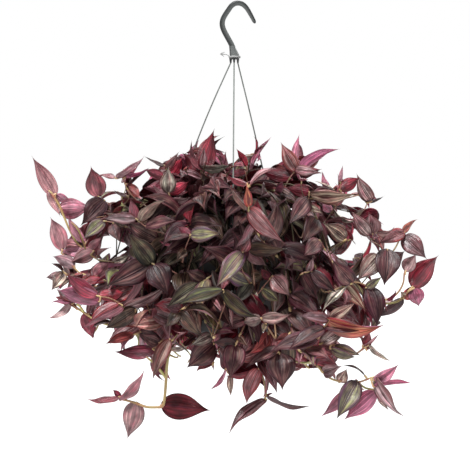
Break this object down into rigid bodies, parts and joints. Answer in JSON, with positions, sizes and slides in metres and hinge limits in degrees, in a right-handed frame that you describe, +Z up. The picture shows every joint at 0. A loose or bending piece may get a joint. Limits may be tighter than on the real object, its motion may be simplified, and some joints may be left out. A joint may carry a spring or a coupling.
{
  "type": "potted tradescantia",
  "caption": "Hanging potted tradescantia: a hook and three wires carry a plastic pot of soil, hidden under trailing purple-green stems and leaves.",
  "frame": {"origin": "seat of the hook: the point inside the top of its arch that bears on a rail; everything hangs below it", "axes": "+Z up, -Y towards the side seen in the picture, +X to its right; the hook opens sideways in the XZ plane"},
  "size_m": [0.5329, 0.4523, 0.5769],
  "materials": {
    "hook_plastic": "satin",
    "tie_plastic": "satin",
    "wire_steel": "satin",
    "pot_plastic": "satin",
    "soil": "matte",
    "foliage": "satin"
  },
  "bodies": {
    "root": {"hanger_hook": "hook_plastic", "crown_tie": "tie_plastic", "wire_left": "wire_steel", "wire_middle": "wire_steel", "wire_right": "wire_steel", "pot": "pot_plastic", "drip_saucer": "pot_plastic", "potting_soil": "soil", "shoot_back_01": "foliage", "shoot_back_02": "foliage", "shoot_back_03": "foliage", "shoot_back_04": "foliage", "shoot_back_05": "foliage", "shoot_back_06": "foliage", "shoot_back_07": "foliage", "shoot_back_08": "foliage", "shoot_back_09": "foliage", "shoot_bottom_center": "foliage", "shoot_bottom_dark_left": "foliage", "shoot_bottom_left_big": "foliage", "shoot_bottom_left_side": "foliage", "shoot_bottom_left_trail": "foliage", "shoot_bottom_right_big": "foliage", "shoot_front_green": "foliage", "shoot_front_green_b": "foliage", "shoot_front_grey": "foliage", "shoot_front_high": "foliage", "shoot_front_left_olive": "foliage", "shoot_front_mid": "foliage", "shoot_front_right_grey": "foliage", "shoot_left_01": "foliage", "shoot_left_02": "foliage", "shoot_left_03": "foliage", "shoot_left_04": "foliage", "shoot_left_center": "foliage", "shoot_left_front_dark": "foliage", "shoot_left_high": "foliage", "shoot_left_low": "foliage", "shoot_left_mid": "foliage", "shoot_right_01": "foliage", "shoot_right_02": "foliage", "shoot_right_03": "foliage", "shoot_right_04": "foliage", "shoot_right_05": "foliage", "shoot_right_bottom": "foliage", "shoot_right_far": "foliage", "shoot_right_front": "foliage", "shoot_right_front_mauve": "foliage", "shoot_right_low_b": "foliage", "shoot_right_low_dark": "foliage", "shoot_right_mid_a": "foliage", "shoot_right_mid_c": "foliage", "shoot_right_top": "foliage", "shoot_right_upper": "foliage", "shoot_top_center": "foliage", "shoot_top_left_back": "foliage", "shoot_top_left_front": "foliage", "shoot_top_right_front": "foliage", "shoot_top_right_tuft": "foliage", "shoot_upper_left_tip": "foliage"}
  },
  "joints": []
}
